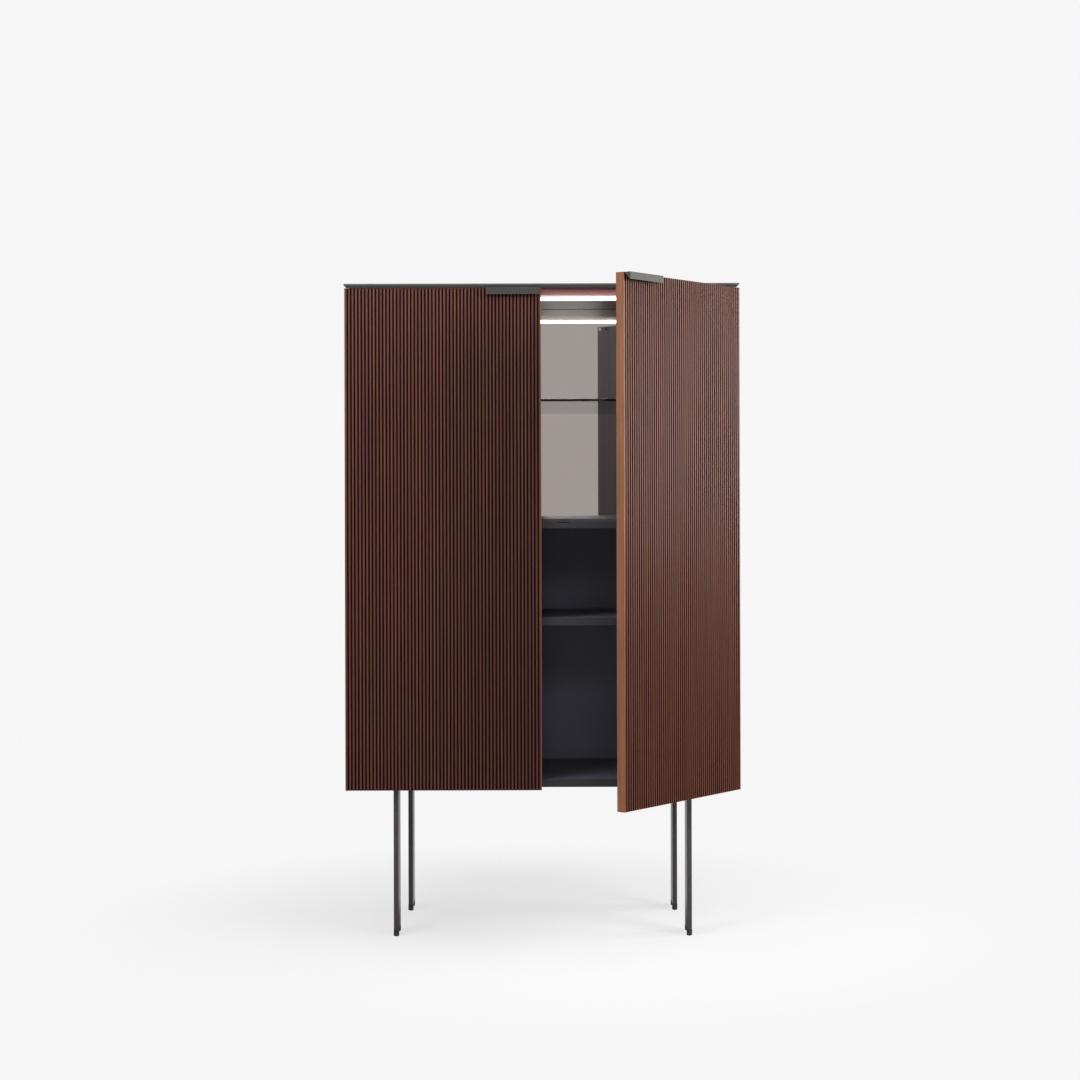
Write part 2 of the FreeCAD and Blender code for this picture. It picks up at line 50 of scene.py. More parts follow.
# Camera. The photograph is taken from 5.2 m in front of the shut door, level and square to it,
# with a 70 mm lens on a 36 mm sensor. The lens is shifted by some pixels of the picture, mostly
# down, to bring the horizon to its height.
lens_distance = 5.2
lens_height = 1.0985
lens_roll = math.radians(0.15)
picture_side = 1080
shift_across, shift_up = -1.8, -44.0
crest_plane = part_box("left_door_panel")[0].y
camera_data = bpy.data.cameras.new("camera")
camera_data.lens = 70.0
camera_data.sensor_width = 36.0
camera_data.sensor_fit = "HORIZONTAL"
camera_data.shift_x = shift_across / picture_side
camera_data.shift_y = shift_up / picture_side
camera = bpy.data.objects.new("camera", camera_data)
bpy.context.scene.collection.objects.link(camera)
camera.location = (0.0, crest_plane - lens_distance, lens_height)
camera.rotation_euler = (math.radians(90.0), lens_roll, 0.0)
bpy.context.scene.camera = camera
bpy.context.scene.view_settings.view_transform = "Standard"


# Studio. A seamless pale ground, lit by soft boxes at the left, right, right front and overhead, and
# by a low and a high one in front. The air in front is greyer than the backdrop, and the mirror and
# the satin finishes show that.
def linear(hex_colour):
    """Linear RGBA of an sRGB hex colour."""
    channels = [int(hex_colour[i:i + 2], 16) / 255 for i in (1, 3, 5)]
    values = [c / 12.92 if c <= 0.04045 else ((c + 0.055) / 1.055) ** 2.4 for c in channels]
    return (*values, 1.0)


def add_node(tree, kind, sockets=None, **settings):
    """Adds a node with its settings, and fills its sockets with values or links."""
    made = tree.nodes.new(kind)
    for name, value in settings.items():
        setattr(made, name, value)
    for socket, value in (sockets or {}).items():
        if isinstance(value, bpy.types.NodeSocket):
            tree.links.new(value, made.inputs[socket])
        else:
            made.inputs[socket].default_value = value
    return made


paper_white = linear("#f6f6f6")
grey_bearing, pale_bearing = -0.75, 0.1
world = bpy.data.worlds.new("studio")
bpy.context.scene.world = world
world.use_nodes = True
tree = world.node_tree
tree.nodes.clear()
path = add_node(tree, "ShaderNodeLightPath")
bearing = add_node(tree, "ShaderNodeTexCoord")
split = add_node(tree, "ShaderNodeSeparateXYZ", {"Vector": bearing.outputs["Generated"]})
backwards = add_node(tree, "ShaderNodeMapRange", {
    "Value": split.outputs["Y"], "From Min": grey_bearing, "From Max": pale_bearing,
}, interpolation_type="SMOOTHSTEP")
seen_air = add_node(tree, "ShaderNodeMix", {
    "Factor": backwards.outputs[0], "A": linear("#a9a3a1"), "B": paper_white}, data_type="RGBA")
lit_air = add_node(tree, "ShaderNodeMix", {
    "Factor": backwards.outputs[0], "A": linear("#a6a4a4"), "B": linear("#8c8c8e"),
}, data_type="RGBA")
mirrored = add_node(tree, "ShaderNodeMath", {
    0: path.outputs["Is Glossy Ray"], 1: path.outputs["Is Transmission Ray"]}, operation="MAXIMUM")
air = add_node(tree, "ShaderNodeMix", {
    "Factor": mirrored.outputs[0], "A": lit_air.outputs["Result"], "B": seen_air.outputs["Result"],
}, data_type="RGBA")
tone = add_node(tree, "ShaderNodeMix", {
    "Factor": path.outputs["Is Camera Ray"], "A": air.outputs["Result"], "B": paper_white,
}, data_type="RGBA")
glow = add_node(tree, "ShaderNodeBackground", {"Color": tone.outputs["Result"], "Strength": 1.0})
add_node(tree, "ShaderNodeOutputWorld", {"Surface": glow.outputs[0]})

floor_side = 30.0
shade_near, shade_far = 0.55, 1.3
grey_heading, pale_heading = 0.25, 0.75
bpy.ops.object.select_all(action="DESELECT")
bpy.ops.mesh.primitive_plane_add(size=floor_side, location=(0, 0, 0))
floor = bpy.context.object
floor.name = "floor"
paper = bpy.data.materials.new("seamless_paper")
paper.use_nodes = True
tree = paper.node_tree
tree.nodes.clear()
path = add_node(tree, "ShaderNodeLightPath")
place = add_node(tree, "ShaderNodeTexCoord")
away = add_node(tree, "ShaderNodeVectorMath", {0: place.outputs["Object"]}, operation="LENGTH")
near = add_node(tree, "ShaderNodeMapRange", {
    "Value": away.outputs["Value"], "From Min": shade_near, "From Max": shade_far, "To Min": 1.0,
    "To Max": 0.0}, interpolation_type="SMOOTHSTEP")
shade_catch = add_node(tree, "ShaderNodeBsdfDiffuse", {"Color": linear("#8a8a8a")})
even = add_node(tree, "ShaderNodeEmission", {"Color": linear("#d4d4d4"), "Strength": 1.0})
close_up = add_node(tree, "ShaderNodeAddShader", {0: shade_catch.outputs[0], 1: even.outputs[0]})
far_off = add_node(tree, "ShaderNodeEmission", {"Color": paper_white, "Strength": 1.0})
shown = add_node(tree, "ShaderNodeMixShader", {
    0: near.outputs[0], 1: far_off.outputs[0], 2: close_up.outputs[0]})
heading = add_node(tree, "ShaderNodeVectorMath", {
    0: place.outputs["Object"]}, operation="NORMALIZE")
split = add_node(tree, "ShaderNodeSeparateXYZ", {"Vector": heading.outputs[0]})
behind = add_node(tree, "ShaderNodeMapRange", {
    "Value": split.outputs["Y"], "From Min": grey_heading, "From Max": pale_heading,
}, interpolation_type="SMOOTHSTEP")
grey_or_pale = add_node(tree, "ShaderNodeMix", {
    "Factor": behind.outputs[0], "A": linear("#7c7875"), "B": paper_white}, data_type="RGBA")
in_gloss = add_node(tree, "ShaderNodeEmission", {
    "Color": grey_or_pale.outputs["Result"], "Strength": 1.0})
bounce = add_node(tree, "ShaderNodeBsdfDiffuse", {"Color": linear("#a8a8a8")})
mirrored = add_node(tree, "ShaderNodeMath", {
    0: path.outputs["Is Glossy Ray"], 1: path.outputs["Is Transmission Ray"]}, operation="MAXIMUM")
unseen = add_node(tree, "ShaderNodeMixShader", {
    0: mirrored.outputs[0], 1: bounce.outputs[0], 2: in_gloss.outputs[0]})
sheet = add_node(tree, "ShaderNodeMixShader", {
    0: path.outputs["Is Camera Ray"], 1: unseen.outputs[0], 2: shown.outputs[0]})
add_node(tree, "ShaderNodeOutputMaterial", {"Surface": sheet.outputs[0]})
floor.data.materials.append(paper)

# Each soft box has its place and size in metres and its power in watts, and faces the cabinet.
cabinet_middle = Vector((0, 0, 1.0))
soft_boxes = {
    "soft_box_left": ((-1.5, -1.9, 2.4), (1.2, 1.2), 30.0),
    "soft_box_right": ((2.2, 0.1, 1.4), (0.9, 1.0), 23.0),
    "soft_box_right_front": ((1.9, -1.6, 2.0), (1.0, 1.0), 41.0),
    "soft_box_front_low": ((0.2, -5.0, 0.45), (2.4, 0.7), 17.0),
    "soft_box_front_high": ((0.2, -4.6, 2.7), (1.2, 0.7), 20.0),
    "soft_box_above": ((0.0, -0.6, 4.2), (2.6, 2.0), 45.0),
}
for name, (spot, size, watts) in soft_boxes.items():
    lamp = bpy.data.lights.new(name, "AREA")
    lamp.shape = "RECTANGLE"
    lamp.size, lamp.size_y = size
    lamp.energy = watts
    box = bpy.data.objects.new(name, lamp)
    bpy.context.scene.collection.objects.link(box)
    box.location = spot
    box.rotation_euler = (cabinet_middle - Vector(spot)).to_track_quat("-Z", "Y").to_euler()


# Sides of the carcass. 20 mm boards with eased arrises, drilled for dowels, pegs and tongues.
# The outer faces carry the doors' walnut veneer, and the rest is a grey satin lacquer.
weld_gap = 0.002 * mm
sharp_angle = math.radians(40.0)
smooth_angle = math.radians(35.0)


def eased_copy(node, name, ease, body="cabinet"):
    """Copy of a CAD node with its longer arrises eased, which stands for the node."""
    bpy.ops.object.select_all(action="DESELECT")
    piece = bpy.data.objects.new(name, nodes[node].data.copy())
    bpy.context.scene.collection.objects.link(piece)
    piece.data.materials.clear()
    piece.select_set(True)
    bpy.context.view_layer.objects.active = piece
    bpy.ops.object.mode_set(mode="EDIT")
    bpy.ops.mesh.select_mode(type="EDGE")
    bpy.ops.mesh.select_all(action="SELECT")
    bpy.ops.mesh.customdata_custom_splitnormals_clear()
    bpy.ops.mesh.remove_doubles(threshold=weld_gap)
    bpy.ops.mesh.dissolve_limited(angle_limit=math.radians(0.5))
    bpy.ops.mesh.select_all(action="DESELECT")
    bpy.ops.mesh.edges_select_sharp(sharpness=sharp_angle)
    bpy.ops.object.mode_set(mode="OBJECT")
    shortest_eased = 3 * ease
    spots = piece.data.vertices
    for edge in piece.data.edges:
        start, end = edge.vertices
        edge.select = edge.select and (spots[start].co - spots[end].co).length > shortest_eased
    bpy.ops.object.mode_set(mode="EDIT")
    bpy.ops.transform.edge_bevelweight(value=1.0)
    bpy.ops.object.mode_set(mode="OBJECT")
    arris = piece.modifiers.new("arris", "BEVEL")
    arris.width = ease
    arris.segments = 2
    arris.limit_method = "WEIGHT"
    arris.use_clamp_overlap = False
    bpy.ops.object.modifier_apply(modifier=arris.name)
    bpy.ops.object.shade_smooth_by_angle(angle=smooth_angle)
    flat = piece.modifiers.new("flat_faces", "WEIGHTED_NORMAL")
    flat.keep_sharp = True
    flat.weight = 100
    bpy.ops.object.modifier_apply(modifier=flat.name)
    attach(piece, body)
    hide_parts(node)
    return piece


def bare_finish(name):
    """A new material with an empty node tree."""
    made = bpy.data.materials.new(name)
    made.use_nodes = True
    made.node_tree.nodes.clear()
    return made, made.node_tree


def stained_walnut(name, skin=None, door=None):
    """Walnut with upright grain; skin is a side's outer face, door a panel's turn and pivot."""
    # Stained dark and sealed with satin lacquer: warm brown bands, thin dark pores and a soft sheen.
    # The pores are drawn some three times as wide and long as real ones, to show at all.
    made, tree = bare_finish(name)
    place = add_node(tree, "ShaderNodeTexCoord")
    laid = add_node(tree, "ShaderNodeMapping", {"Vector": place.outputs["Object"]})
    if door:
        turn, pivot = door
        laid.inputs["Rotation"].default_value = (0, 0, turn)
        laid.inputs["Location"].default_value = pivot - Matrix.Rotation(turn, 3, "Z") @ pivot
    split = add_node(tree, "ShaderNodeSeparateXYZ", {"Vector": laid.outputs[0]})
    outward = add_node(tree, "ShaderNodeMath", {0: split.outputs["X"]}, operation="ABSOLUTE")
    band_width, band_length = 14 * mm, 500 * mm
    band_steps = (1 / band_width, 1 / band_width, 1 / band_length)
    band_room = add_node(tree, "ShaderNodeVectorMath", {
        0: laid.outputs[0], 1: band_steps}, operation="MULTIPLY")
    # A broad leaf of veneer wanders and shows its figure, and the narrow ribs are straight and alike.
    wander, pale, deep = (0.0, "#714026", "#5b321e") if door else (0.7, "#7b4829", "#4a2616")
    bands = add_node(tree, "ShaderNodeTexNoise", {
        "Vector": band_room.outputs[0], "Scale": 1.0, "Detail": 4.0, "Roughness": 0.6,
        "Distortion": wander})
    pore_width, pore_length = 1.0 * mm, 60 * mm
    pore_steps = (1 / pore_width, 1 / pore_width, 1 / pore_length)
    pore_room = add_node(tree, "ShaderNodeVectorMath", {
        0: laid.outputs[0], 1: pore_steps}, operation="MULTIPLY")
    pores = add_node(tree, "ShaderNodeTexNoise", {
        "Vector": pore_room.outputs[0], "Scale": 1.0, "Detail": 1.0})
    pore_mask = add_node(tree, "ShaderNodeMapRange", {
        "Value": pores.outputs["Fac"], "From Min": 0.58, "From Max": 0.70, "To Max": 0.3})
    ramp = add_node(tree, "ShaderNodeValToRGB", {"Fac": bands.outputs["Fac"]})
    ramp.color_ramp.elements[0].position = 0.30
    ramp.color_ramp.elements[0].color = linear(deep)
    ramp.color_ramp.elements[1].position = 0.72
    ramp.color_ramp.elements[1].color = linear(pale)
    ramp.color_ramp.elements.new(0.52).color = linear("#673a21")
    wood = ramp.outputs["Color"]
    if door:
        # Each rib is its own strip of wood, so its tone differs; a painted shade darkens the gaps
        # from just below the crests.
        rib_pitch = 8.741 * mm
        gap_starts, gap_dark, gap_floor = (crest_plane + d * mm for d in (0.15, 0.9, 4.7))
        step = add_node(tree, "ShaderNodeMath", {
            0: split.outputs["X"], 1: rib_pitch}, operation="DIVIDE")
        rib = add_node(tree, "ShaderNodeMath", {0: step.outputs[0]}, operation="FLOOR")
        lot = add_node(tree, "ShaderNodeTexWhiteNoise", {
            "W": rib.outputs[0]}, noise_dimensions="1D")
        shift = add_node(tree, "ShaderNodeMapRange", {
            "Value": lot.outputs["Value"], "To Min": 0.97, "To Max": 1.03})
        rib_tone = add_node(tree, "ShaderNodeMix", {
            "Factor": 1.0, "A": wood, "B": shift.outputs[0],
        }, data_type="RGBA", blend_type="MULTIPLY")
        groove_painted_shade = add_node(tree, "ShaderNodeMapRange", {
            "Value": split.outputs["Y"], "From Min": gap_starts, "From Max": gap_dark})
        front_only = add_node(tree, "ShaderNodeMath", {
            0: split.outputs["Y"], 1: gap_floor}, operation="LESS_THAN")
        in_groove_painted_shade = add_node(tree, "ShaderNodeMath", {
            0: groove_painted_shade.outputs[0], 1: front_only.outputs[0]}, operation="MULTIPLY")
        # Painted shade: a near-black plum down the gaps.
        groove_shaded = add_node(tree, "ShaderNodeMix", {
            "Factor": in_groove_painted_shade.outputs[0], "A": rib_tone.outputs["Result"], "B": linear("#1a0f28"),
        }, data_type="RGBA")
        # The free edge is banded with a paler strip, which wraps its arrises; its paleness is partly
        # painted light, for the light that falls on the free edge.
        band_wrap = 1.2 * mm
        band_gain_with_painted_light = (2.2, 3.0, 4.3, 1.0)
        free_edge = band_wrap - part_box("left_door_panel")[1].x
        banded = add_node(tree, "ShaderNodeMath", {
            0: outward.outputs[0], 1: free_edge}, operation="LESS_THAN")
        paler_with_painted_light = add_node(tree, "ShaderNodeMix", {
            "Factor": 1.0, "A": ramp.outputs["Color"], "B": band_gain_with_painted_light,
        }, data_type="RGBA", blend_type="MULTIPLY")
        edged = add_node(tree, "ShaderNodeMix", {
            "Factor": banded.outputs[0], "A": groove_shaded.outputs["Result"],
            "B": paler_with_painted_light.outputs["Result"]}, data_type="RGBA")
        wood = edged.outputs["Result"]
    pored = add_node(tree, "ShaderNodeMix", {
        "Factor": pore_mask.outputs[0], "A": wood, "B": linear("#301c16")}, data_type="RGBA")
    sheen = add_node(tree, "ShaderNodeMapRange", {
        "Value": pore_mask.outputs[0], "To Min": 0.42, "To Max": 0.58})
    shine = 0.3
    coat_depth = 0.6 * mm if door else 0.8 * mm
    if door:
        dim = add_node(tree, "ShaderNodeMapRange", {
            "Value": in_groove_painted_shade.outputs[0], "To Min": 0.24, "To Max": 0.05})
        shine = dim.outputs[0]
        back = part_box("left_door_panel")[1].y - coat_depth
        lacquered = add_node(tree, "ShaderNodeMath", {
            0: split.outputs["Y"], 1: back}, operation="GREATER_THAN")
    else:
        lacquered = add_node(tree, "ShaderNodeMath", {
            0: outward.outputs[0], 1: skin - coat_depth}, operation="LESS_THAN")
    # The lacquer of the inner faces lets a little of the grain through.
    inner = add_node(tree, "ShaderNodeMix", {
        "Factor": bands.outputs["Fac"], "A": linear("#564c50"), "B": linear("#6a6064"),
    }, data_type="RGBA")
    coat = add_node(tree, "ShaderNodeMix", {
        "Factor": lacquered.outputs[0], "A": pored.outputs["Result"], "B": inner.outputs["Result"],
    }, data_type="RGBA")
    gloss = add_node(tree, "ShaderNodeMix", {
        "Factor": lacquered.outputs[0], "A": sheen.outputs[0], "B": 0.45})
    sunk = add_node(tree, "ShaderNodeBump", {
        "Height": pore_mask.outputs[0], "Strength": 0.12, "Distance": 0.08 * mm}, invert=True)
    shader = add_node(tree, "ShaderNodeBsdfPrincipled", {
        "Base Color": coat.outputs["Result"], "Roughness": gloss.outputs[0],
        "Specular IOR Level": shine, "Normal": sunk.outputs[0]})
    add_node(tree, "ShaderNodeOutputMaterial", {"Surface": shader.outputs[0]})
    return made


board_ease = 0.6 * mm
side_walnut = stained_walnut("walnut_skin_on_dark_board", skin=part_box("carcass_right_side")[1].x)
for side in ("left", "right"):
    board = eased_copy(f"carcass_{side}_side", f"{side}_side_board", board_ease)
    board.data.materials.append(side_walnut)

# Bottom and shelves. Boards of 16 and 20 mm with broad faces of the blue grey laminate of the back,
# and near-black lacquer on the front edges. Fine orange peel and a slight mottle keep them alive.
faced, tree = bare_finish("dark_faced_board")
place = add_node(tree, "ShaderNodeTexCoord")
mottle = add_node(tree, "ShaderNodeTexNoise", {
    "Vector": place.outputs["Object"], "Scale": 1 / (60 * mm), "Detail": 3.0})
peel = add_node(tree, "ShaderNodeTexNoise", {
    "Vector": place.outputs["Object"], "Scale": 1 / (1.5 * mm), "Detail": 1.0})
front = add_node(tree, "ShaderNodeMix", {
    "Factor": mottle.outputs["Fac"], "A": linear("#242127"), "B": linear("#2b282f"),
}, data_type="RGBA")
broad = add_node(tree, "ShaderNodeMix", {
    "Factor": mottle.outputs["Fac"], "A": linear("#53515f"), "B": linear("#5f5d6c"),
}, data_type="RGBA")
split = add_node(tree, "ShaderNodeSeparateXYZ", {"Vector": place.outputs["Normal"]})
level = add_node(tree, "ShaderNodeMath", {0: split.outputs["Z"]}, operation="ABSOLUTE")
lying = add_node(tree, "ShaderNodeMath", {0: level.outputs[0], 1: 0.7}, operation="GREATER_THAN")
tint = add_node(tree, "ShaderNodeMix", {
    "Factor": lying.outputs[0], "A": front.outputs["Result"], "B": broad.outputs["Result"],
}, data_type="RGBA")
dull = add_node(tree, "ShaderNodeMapRange", {
    "Value": mottle.outputs["Fac"], "From Min": 0.3, "From Max": 0.7, "To Min": 0.42,
    "To Max": 0.52})
orange_peel = add_node(tree, "ShaderNodeBump", {
    "Height": peel.outputs["Fac"], "Strength": 0.15, "Distance": 0.1 * mm})
shader = add_node(tree, "ShaderNodeBsdfPrincipled", {
    "Base Color": tint.outputs["Result"], "Roughness": dull.outputs[0],
    "Normal": orange_peel.outputs[0]})
add_node(tree, "ShaderNodeOutputMaterial", {"Surface": shader.outputs[0]})
for board in ("carcass_bottom", "bar_shelf", "lower_shelf"):
    eased_copy(board, f"{board}_board", board_ease).data.materials.append(faced)

# Back panel. A thin laminated sheet in the grooves of the carcass, blue grey with a faint linen
# emboss, which is drawn at 1.2 mm, coarser than real, to show.
laminate, tree = bare_finish("blue_grey_laminate")
place = add_node(tree, "ShaderNodeTexCoord")
split = add_node(tree, "ShaderNodeSeparateXYZ", {"Vector": place.outputs["Object"]})
thread_pitch = 1.2 * mm
thread_step = 2 * math.pi / thread_pitch
across = add_node(tree, "ShaderNodeMath", {
    0: split.outputs["X"], 1: thread_step}, operation="MULTIPLY")
along = add_node(tree, "ShaderNodeMath", {
    0: split.outputs["Z"], 1: thread_step}, operation="MULTIPLY")
weft = add_node(tree, "ShaderNodeMath", {0: across.outputs[0]}, operation="SINE")
warp = add_node(tree, "ShaderNodeMath", {0: along.outputs[0]}, operation="SINE")
linen = add_node(tree, "ShaderNodeMath", {
    0: weft.outputs[0], 1: warp.outputs[0]}, operation="MULTIPLY")
cloud = add_node(tree, "ShaderNodeTexNoise", {
    "Vector": place.outputs["Object"], "Scale": 1 / (150 * mm), "Detail": 2.0})
tint = add_node(tree, "ShaderNodeMix", {
    "Factor": cloud.outputs["Fac"], "A": linear("#5a596c"), "B": linear("#666578"),
}, data_type="RGBA")
emboss = add_node(tree, "ShaderNodeBump", {
    "Height": linen.outputs[0], "Strength": 0.2, "Distance": 0.05 * mm})
shader = add_node(tree, "ShaderNodeBsdfPrincipled", {
    "Base Color": tint.outputs["Result"], "Roughness": 0.55, "Normal": emboss.outputs[0]})
add_node(tree, "ShaderNodeOutputMaterial", {"Surface": shader.outputs[0]})


def dress(finish, *names):
    """Gives CAD nodes that stay as they are their finish."""
    for name in names:
        nodes[name].data.materials.clear()
        nodes[name].data.materials.append(finish)


dress(laminate, "back_panel")

# Grommet. A ring of black ABS, injection moulded, that snaps into the back panel and lines a hole
# for wires: satin, with the fine spark texture of its mould.
moulded, tree = bare_finish("moulded_black_abs")
place = add_node(tree, "ShaderNodeTexCoord")
spark = add_node(tree, "ShaderNodeTexNoise", {
    "Vector": place.outputs["Object"], "Scale": 1 / (0.4 * mm), "Detail": 2.0})
tint = add_node(tree, "ShaderNodeMix", {
    "Factor": spark.outputs["Fac"], "A": linear("#1e1d1e"), "B": linear("#2a292b"),
}, data_type="RGBA")
eroded = add_node(tree, "ShaderNodeBump", {
    "Height": spark.outputs["Fac"], "Strength": 0.3, "Distance": 0.05 * mm})
shader = add_node(tree, "ShaderNodeBsdfPrincipled", {
    "Base Color": tint.outputs["Result"], "Roughness": 0.5, "Normal": eroded.outputs[0]})
add_node(tree, "ShaderNodeOutputMaterial", {"Surface": shader.outputs[0]})
dress(moulded, "cable_grommet")

# Dowels. 8 mm beech pins, glued into the ends of the boards and the sides; pale turned wood with
# short brown flecks along the pin.
beech, tree = bare_finish("turned_beech")
place = add_node(tree, "ShaderNodeTexCoord")
fleck_length, fleck_width = 4 * mm, 0.6 * mm
fleck_steps = (1 / fleck_length, 1 / fleck_width, 1 / fleck_width)
fleck_room = add_node(tree, "ShaderNodeVectorMath", {
    0: place.outputs["Object"], 1: fleck_steps}, operation="MULTIPLY")
flecks = add_node(tree, "ShaderNodeTexNoise", {
    "Vector": fleck_room.outputs[0], "Scale": 1.0, "Detail": 2.0})
tint = add_node(tree, "ShaderNodeMix", {
    "Factor": flecks.outputs["Fac"], "A": linear("#b98a5e"), "B": linear("#dcb88c"),
}, data_type="RGBA")
shader = add_node(tree, "ShaderNodeBsdfPrincipled", {
    "Base Color": tint.outputs["Result"], "Roughness": 0.6})
add_node(tree, "ShaderNodeOutputMaterial", {"Surface": shader.outputs[0]})
dress(beech, "carcass_dowels")

# Top board. Its front edge is lipped with reddish walnut, whose colour is partly a painted glow of
# the lamp, palest along the lower arris. The underside is a polished warm grey lacquer, paler partly
# as painted light of the lamp, which mirrors the room at a low angle; the rest is dark lacquer.
top_low, top_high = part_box("carcass_top")
underside_reach = 0.7 * mm
lipping_reach = 0.8 * mm
lipped, tree = bare_finish("lipped_top_board")
place = add_node(tree, "ShaderNodeTexCoord")
split = add_node(tree, "ShaderNodeSeparateXYZ", {"Vector": place.outputs["Object"]})
rise = add_node(tree, "ShaderNodeMapRange", {
    "Value": split.outputs["Z"], "From Min": top_low.z, "From Max": top_high.z})
# Painted glow of the lamp: the lipping is palest at its lower arris and darker upward.
lipping_with_painted_glow = add_node(tree, "ShaderNodeValToRGB", {"Fac": rise.outputs[0]})
lipping_with_painted_glow.color_ramp.elements[0].color = linear("#b2736a")
lipping_with_painted_glow.color_ramp.elements[1].color = linear("#a86b70")
lipping_with_painted_glow.color_ramp.elements.new(0.5).color = linear("#985c5f")
streak_length, streak_width = 120 * mm, 2 * mm
streak_steps = (1 / streak_length, 1 / streak_width, 1 / streak_width)
streak_room = add_node(tree, "ShaderNodeVectorMath", {
    0: place.outputs["Object"], 1: streak_steps}, operation="MULTIPLY")
streaks = add_node(tree, "ShaderNodeTexNoise", {
    "Vector": streak_room.outputs[0], "Scale": 1.0, "Detail": 2.0})
grained = add_node(tree, "ShaderNodeMix", {
    "Factor": 0.25, "A": lipping_with_painted_glow.outputs["Color"], "B": streaks.outputs["Fac"],
}, data_type="RGBA", blend_type="OVERLAY")
cloud = add_node(tree, "ShaderNodeTexNoise", {
    "Vector": place.outputs["Object"], "Scale": 1 / (60 * mm), "Detail": 3.0})
underside = add_node(tree, "ShaderNodeMath", {
    0: split.outputs["Z"], 1: top_low.z + underside_reach}, operation="LESS_THAN")
# Painted light of the lamp: part of the underside's pale warm grey.
ceiling_with_painted_light = add_node(tree, "ShaderNodeMix", {
    "Factor": cloud.outputs["Fac"], "A": linear("#a58986"), "B": linear("#af9390"),
}, data_type="RGBA")
inside = add_node(tree, "ShaderNodeMix", {
    "Factor": underside.outputs[0], "A": linear("#2b282f"), "B": ceiling_with_painted_light.outputs["Result"],
}, data_type="RGBA")
lipping = add_node(tree, "ShaderNodeMath", {
    0: split.outputs["Y"], 1: top_low.y + lipping_reach}, operation="LESS_THAN")
tint = add_node(tree, "ShaderNodeMix", {
    "Factor": lipping.outputs[0], "A": inside.outputs["Result"], "B": grained.outputs["Result"],
}, data_type="RGBA")
dull = add_node(tree, "ShaderNodeMapRange", {
    "Value": cloud.outputs["Fac"], "From Min": 0.3, "From Max": 0.7, "To Min": 0.5, "To Max": 0.6})
polish = add_node(tree, "ShaderNodeMix", {
    "Factor": underside.outputs[0], "A": dull.outputs[0], "B": 0.43})
shader = add_node(tree, "ShaderNodeBsdfPrincipled", {
    "Base Color": tint.outputs["Result"], "Roughness": polish.outputs[0],
    "Specular IOR Level": 0.45})
add_node(tree, "ShaderNodeOutputMaterial", {"Surface": shader.outputs[0]})
eased_copy("carcass_top", "top_board", board_ease).data.materials.append(lipped)

# Catch magnets. Short round magnets let into the top board's front edge, where they hold the strike
# plates of the doors; lacquered over in the lipping's colour, its painted lamp glow included.
capped, tree = bare_finish("lacquered_magnet")
place = add_node(tree, "ShaderNodeTexCoord")
speck = add_node(tree, "ShaderNodeTexNoise", {
    "Vector": place.outputs["Object"], "Scale": 1 / (1.0 * mm), "Detail": 2.0})
tint = add_node(tree, "ShaderNodeMix", {
    "Factor": speck.outputs["Fac"], "A": linear("#9a6468"), "B": linear("#a86e72"),
}, data_type="RGBA")
shader = add_node(tree, "ShaderNodeBsdfPrincipled", {
    "Base Color": tint.outputs["Result"], "Roughness": 0.4})
add_node(tree, "ShaderNodeOutputMaterial", {"Surface": shader.outputs[0]})
dress(capped, "catch_magnets")

# Bar top and leaf. An 8 mm layer on the bar shelf, of matt laminate one shade lighter, with the dry
# speckle of its pressed skin. On the right a leaf is cut out of it, which folds over the front edge.
layer_ease = 0.4 * mm
compact, tree = bare_finish("grey_compact_laminate")
place = add_node(tree, "ShaderNodeTexCoord")
speckle = add_node(tree, "ShaderNodeTexNoise", {
    "Vector": place.outputs["Object"], "Scale": 1 / (0.8 * mm), "Detail": 2.0})
cloud = add_node(tree, "ShaderNodeTexNoise", {
    "Vector": place.outputs["Object"], "Scale": 1 / (90 * mm), "Detail": 2.0})
tint = add_node(tree, "ShaderNodeMix", {
    "Factor": cloud.outputs["Fac"], "A": linear("#37333a"), "B": linear("#423d45"),
}, data_type="RGBA")
dull = add_node(tree, "ShaderNodeMapRange", {
    "Value": speckle.outputs["Fac"], "From Min": 0.3, "From Max": 0.7, "To Min": 0.46,
    "To Max": 0.58})
shader = add_node(tree, "ShaderNodeBsdfPrincipled", {
    "Base Color": tint.outputs["Result"], "Roughness": dull.outputs[0]})
add_node(tree, "ShaderNodeOutputMaterial", {"Surface": shader.outputs[0]})
eased_copy("bar_top", "bar_top_layer", layer_ease).data.materials.append(compact)
eased_copy("fold_out_leaf", "leaf_board", layer_ease, "leaf").data.materials.append(compact)

# Leaf hinges. Two small butt hinges of blackened steel, let in flush with the front edge: a dark
# oxide bloom, brighter where it has rubbed.
blackened, tree = bare_finish("blackened_steel")
place = add_node(tree, "ShaderNodeTexCoord")
bloom = add_node(tree, "ShaderNodeTexNoise", {
    "Vector": place.outputs["Object"], "Scale": 1 / (6 * mm), "Detail": 4.0})
tint = add_node(tree, "ShaderNodeMix", {
    "Factor": bloom.outputs["Fac"], "A": linear("#37363a"), "B": linear("#4b4a4d"),
}, data_type="RGBA")
rub = add_node(tree, "ShaderNodeMapRange", {
    "Value": bloom.outputs["Fac"], "From Min": 0.3, "From Max": 0.7, "To Min": 0.32, "To Max": 0.48,
})
shader = add_node(tree, "ShaderNodeBsdfPrincipled", {
    "Base Color": tint.outputs["Result"], "Metallic": 1.0, "Roughness": rub.outputs[0]})
add_node(tree, "ShaderNodeOutputMaterial", {"Surface": shader.outputs[0]})
dress(blackened, "leaf_hinge_fixed_leaves", "leaf_hinge_turning_leaves", "leaf_hinge_pins")

